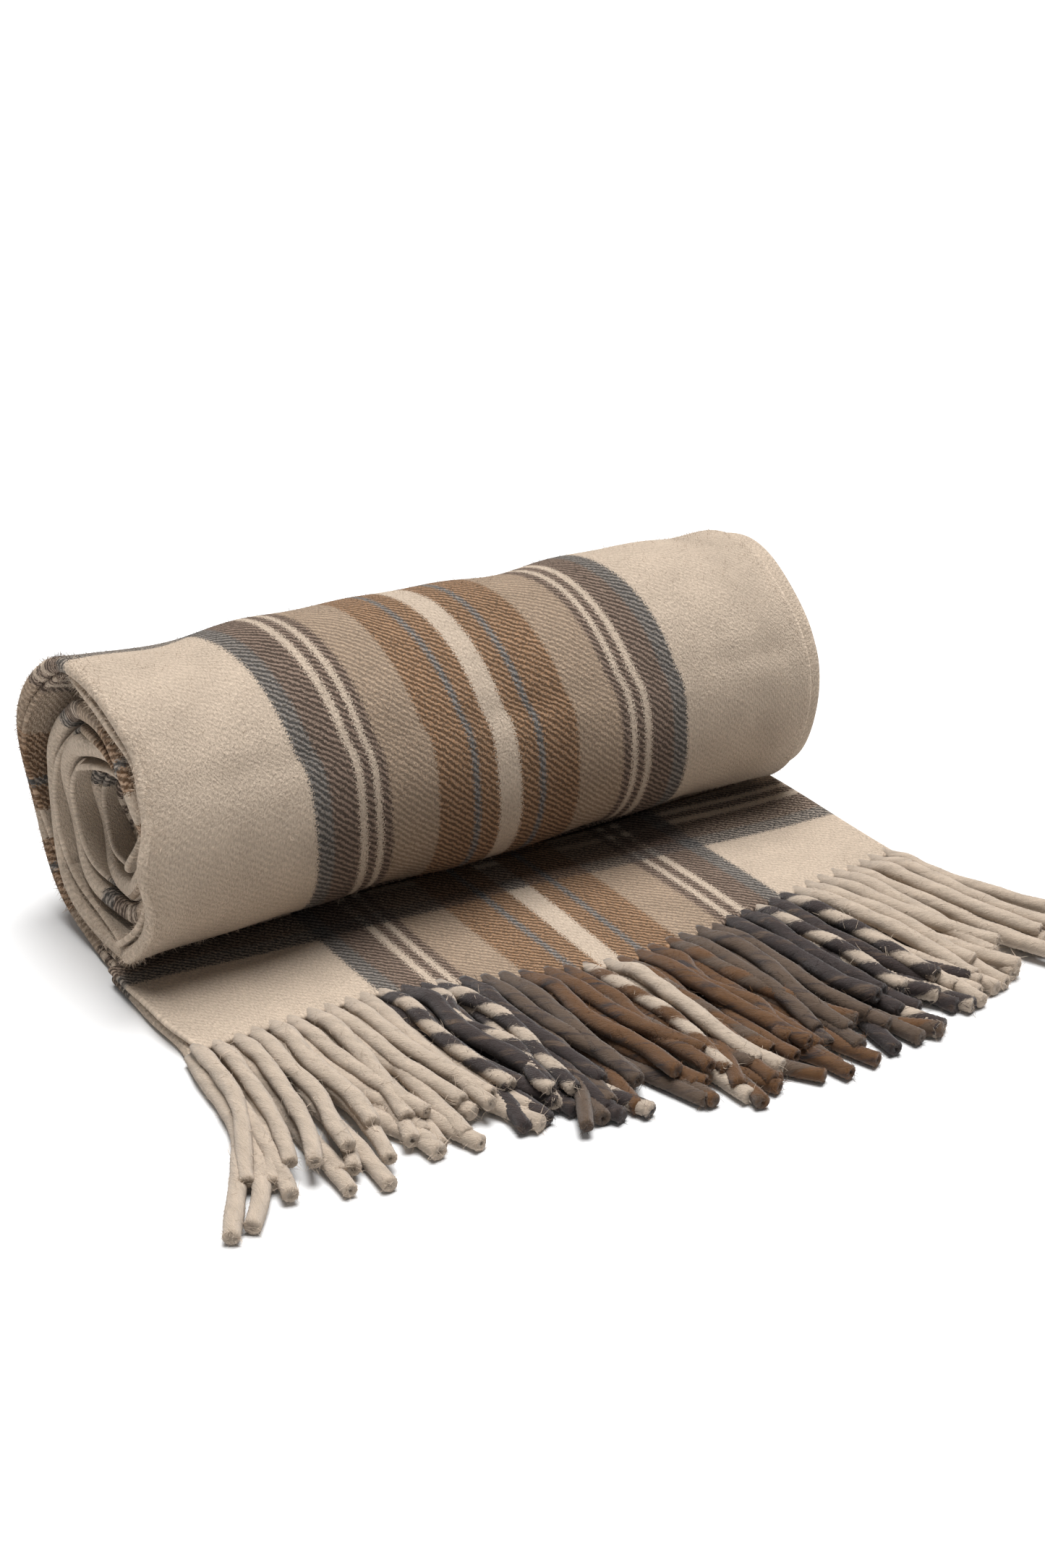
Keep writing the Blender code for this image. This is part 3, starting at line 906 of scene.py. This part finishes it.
        # Each end ring's last number is its painted shade, darkest deep inside an open end.
        for reach, full, dark in ends:
            ring = centre[-1] + ahead[-1] * reach * frayed[:, None] + tip * full
            rows.append(ring)
            maps.append(maps[-1] + [0, 0.0005])
            shades.append(np.full(column.shape, dark))
        start = np.repeat(centre[:1], len(column), 0)
        rows.insert(0, start)
        maps.insert(0, maps[0])
        shades.insert(0, shades[0])
        return np.stack(rows), np.stack(maps), np.stack(shades)


@dataclass
class TasselRow:
    """Tassels of one ply and one group as one piece, or a single tassel of the top ply."""

    name: str
    tassels: list[Tassel]
    fuzzy: bool = True

    def build(self, wools: dict[Fringe, bpy.types.Material]) -> bpy.types.Object:
        """Makes each cord and joins them."""
        used = sorted({t.wool for t in self.tassels}, key=lambda w: w.name)
        parts = []
        for tassel in self.tassels:
            points, maps, shades = tassel.rings()
            mesh = grid_mesh("cord", points)
            write_uv(mesh, mesh.uv_layers.new(name="cord"), maps.reshape(-1, 2))
            place = np.empty(len(mesh.vertices), np.int32)
            mesh.attributes["place"].data.foreach_get("value", place)
            write_points(mesh, "shade", shades.reshape(-1)[place])
            columns = points.shape[1] - 1
            strand = 0.5 + 0.5 * np.sin(math.tau * (place % (columns + 1)) / columns)
            write_points(mesh, "strand", strand)
            slot = used.index(tassel.wool)
            mesh.polygons.foreach_set("material_index", np.full(len(mesh.polygons), slot, np.int32))
            weld(mesh)
            parts.append(mesh)
            if self.fuzzy:
                count = FIBRES_PER_TASSEL
                last = points.shape[0] - 3
                spread = tassel.random.uniform(4, last, count)
                spread[: count // 5] = tassel.random.uniform(last - 3, last, count // 5)
                places = np.stack([spread, tassel.random.uniform(0, columns, count)], 1)
                body, where = fibres(points, maps, places, (0.0015, 0.0060), (0, 0, -0.1), tassel.random)
                loose = fibre_mesh("cord_fibres", body, where, "cord")
                write_points(loose, "shade", np.ones(len(loose.vertices)))
                dyed = tassel.random.random(len(loose.vertices) // FIBRE_POINTS)
                write_points(loose, "strand", dyed.repeat(FIBRE_POINTS))
                loose.polygons.foreach_set("material_index", np.full(len(loose.polygons), slot, np.int32))
                parts.append(loose)
        bm = bmesh.new()
        for mesh in parts:
            bm.from_mesh(mesh)
        joined = bpy.data.meshes.new(self.name)
        bm.to_mesh(joined)
        bm.free()
        return place_object(self.name, joined, [wools[w] for w in used])


class Blanket:
    """The whole blanket: the rolled cloth, the tail and the fringe."""

    def __init__(self) -> None:
        self.panel = Panel()
        self.cloth = PlaidCloth().build()
        self.wools = {wool: wool.value.build() for wool in Fringe}
        self.random = np.random.default_rng(11)

    def build_roll(self) -> list[bpy.types.Object]:
        """The outer turn, finely, and the inner turns, finely only at their ends."""
        parting = math.radians(400)
        start = -SEAM_REACH / ROLL_RADIUS
        outer_rows = np.linspace(start, parting, 178)
        inner_rows = np.linspace(parting, ROLL_TURNS * math.tau, 250)
        fine, coarse = panel_stations(0.0036, 0.0030, 0.014, 0), panel_stations(0.016, 0.0036, 0.018, 0)
        outer = ClothPiece("rolled_cloth_outer_turn", self.panel, fine, outer_rows, False, False)
        inner = ClothPiece("rolled_cloth_inner_turns", self.panel, coarse, inner_rows, False, False)
        pieces = []
        for piece, nodes in (
            (outer, ["rolled_bottom_third", "rolled_left_fold", "rolled_right_fold"]),
            (inner, ["rolled_middle_third", "rolled_top_third"]),
        ):
            obj = piece.build(self.cloth)
            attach(obj, "roll")
            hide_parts(*nodes)
            pieces.append(obj)
        shown = int(np.searchsorted(outer.stations, WIDTH))
        last = len(outer_rows) - 1
        free = len(outer.stations)  # where the free edge's rounding begins
        patches = [
            ((20, last), (1, shown), 15000, SHORT_NAP),
            ((20, last), (shown - 8, shown + 6), 5000, EDGE_NAP),
            ((20, last), (free, free + 4), 1500, EDGE_NAP),
        ]
        nap = outer.nap("rolled_cloth_nap", patches, self.cloth, self.random)
        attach(nap, "roll")
        return pieces

    def build_tail(self) -> bpy.types.Object:
        """The flat tail, from the weave's end to where it is parted from the roll."""
        rows = np.concatenate([np.linspace(0, 0.08, 5), np.linspace(0.1, 1, 46)])
        stations = panel_stations(0.0034, 0.0030, 0.014, 2)
        piece = ClothPiece("tail_cloth", self.panel, stations, rows, True, True)
        obj = piece.build(self.cloth)
        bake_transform(obj)
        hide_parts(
            "tail_bottom_third", "tail_middle_third", "tail_top_third", "tail_left_fold", "tail_right_fold"
        )
        shown = int(np.searchsorted(piece.stations, 2 * WIDTH))
        far = len(piece.stations) - 1
        patches = [((6, 40), (shown, far), 7000, SHORT_NAP), ((1, 5), (shown, far), 4200, FRAYED)]
        nap = piece.nap("tail_cloth_nap", patches, self.cloth, self.random)
        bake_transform(nap)
        return obj

    def wool_of(self, number: int, ply: int) -> Fringe:
        """A tassel's wool: mostly its node's own, and here and there two colours twisted together."""
        wool = Fringe[tassel_node(number).split("_")[0].upper()]
        if number in (11, 34) and ply == 2:
            return Fringe.CREAM_AND_CHARCOAL
        if number in (13, 32) and ply == 2:
            return Fringe.CHARCOAL_AND_CREAM
        if number == 21 and ply == 2:
            return Fringe.CREAM_AND_BROWN
        if number in (14, 31) and ply == 1:
            return Fringe.CREAM_AND_CHARCOAL
        mixed = {
            Fringe.CHARCOAL: Fringe.CHARCOAL_AND_CREAM,
            Fringe.TAUPE: Fringe.TAUPE_AND_BROWN,
            Fringe.BROWN: Fringe.BROWN_AND_TAUPE,
        }
        if wool in mixed and self.random.random() < 0.22:
            return mixed[wool]
        return wool

    def build_fringe(self) -> list[bpy.types.Object]:
        """Every tassel, ply by ply and group by group."""
        made = []
        for item in frame["record"]["behaviour"]["joints"]:
            body = item["child"]
            if item["name"] == "tail_lift":
                continue
            group = body.removesuffix("_fringe")
            numbers = tassel_numbers(body)
            under_node = f"under_fringe_{group}"
            for ply, ply_name in ((0, "bottom"), (1, "middle")):
                tassels = [Tassel(n, ply, self.wool_of(n, ply), self.random) for n in numbers]
                obj = TasselRow(f"{group}_{ply_name}_ply_tassels", tassels).build(self.wools)
                made.append(self.hang(obj, [under_node]))
            for number in numbers:
                wool = self.wool_of(number, 2)
                row = TasselRow(f"top_tassel_{number:02d}", [Tassel(number, 2, wool, self.random)])
                made.append(self.hang(row.build(self.wools), [tassel_node(number)]))
        return made

    def hang(
        self, obj: bpy.types.Object, nodes: list[str]
    ) -> bpy.types.Object:
        """Bakes the tassels' placement into their mesh and hides the frame's nodes that they replace.

        Args:
            obj: the tassels.
            nodes: the frame's nodes that they replace.

        Returns:
            The same object.
        """
        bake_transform(obj)
        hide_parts(*nodes)
        return obj

    def build_core(self) -> bpy.types.Object:
        """The far end's tassels, wound on inside the last turn."""
        tassels = []
        for number in range(1, TASSEL_COUNT + 1):
            tassels.append(Tassel(number, 2, self.wool_of(number, 2), self.random, sides=6, ring_step=0.006))
        row = TasselRow("core_tassels", tassels, fuzzy=False)
        obj = row.build(self.wools)
        start = ROLL_TURNS * math.tau + 0.08
        wound_radius = 0.030  # turns a tassel's run into an angle
        narrowed, moved = 0.86, 0.012  # keeps the tassels inside the roll's ends
        for vert in obj.data.vertices:
            run = edge_y(np.array([np.clip(vert.co.x, -SIDE, SIDE)]))[0] - vert.co.y
            angle = start + run / wound_radius
            outside = ROLL_RADIUS - ROLL_TAPER * (vert.co.x / WIDTH + 0.5)
            radius = outside - TURN_PITCH * angle / math.tau - 0.006 - (vert.co.z - 0.012) * 0.5
            x = vert.co.x * narrowed + moved
            vert.co = (x, AXIS_Y + radius * math.sin(angle), outside - radius * math.cos(angle))
        LOG.info("core fringe: %d tassels", TASSEL_COUNT)
        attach(obj, "roll")
        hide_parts("core_fringe")
        return obj


def add_camera() -> None:
    """The photograph's viewpoint."""
    data = bpy.data.cameras.new("camera")
    data.sensor_width = 36
    data.lens = 55.3
    data.dof.use_dof = False
    camera = bpy.data.objects.new("camera", data)
    bpy.context.scene.collection.objects.link(camera)
    camera.location = (-0.6165, -0.9531, 0.649)
    camera.rotation_euler = (math.radians(90 - 26), 0, math.radians(-32.3))
    bpy.context.scene.camera = camera


def add_studio() -> None:
    """A pale floor, a wide soft light from above and behind, and an even white surround."""
    bm = bmesh.new()
    bmesh.ops.create_grid(bm, x_segments=1, y_segments=1, size=15)
    mesh = bpy.data.meshes.new("floor")
    bm.to_mesh(mesh)
    bm.free()
    g = Graph("pale_floor_paper")
    grain = g.add(NOISE, None, Scale=400.0)
    paper = g.mix(g.sum("MULTIPLY", grain, 0.05), linear("#E4E4E4"), linear("#DEDEDE"))
    g.put(g.shader.inputs["Base Color"], paper)
    g.put(g.shader.inputs["Roughness"], 0.9)
    floor = place_object("floor", mesh, [g.material])
    world = bpy.data.worlds.new("studio")
    bpy.context.scene.world = world
    world.use_nodes = True
    world.node_tree.nodes["Background"].inputs["Color"].default_value = (1, 1, 1, 1)
    world.node_tree.nodes["Background"].inputs["Strength"].default_value = 0.22
    data = bpy.data.lights.new("overhead", "SUN")
    data.energy = 5.2
    data.angle = math.radians(40)
    light = bpy.data.objects.new("overhead", data)
    bpy.context.scene.collection.objects.link(light)
    light.rotation_euler = (math.radians(-2), math.radians(6), 0)
    bpy.context.scene.view_settings.view_transform = "Standard"


def main() -> None:
    """Makes the pieces in order."""
    logging.basicConfig(level=logging.INFO)
    add_camera()
    blanket = Blanket()
    blanket.build_roll()
    fringe = blanket.build_fringe()
    blanket.build_tail()
    blanket.build_core()
    add_studio()


if __name__ == "__main__":
    main()
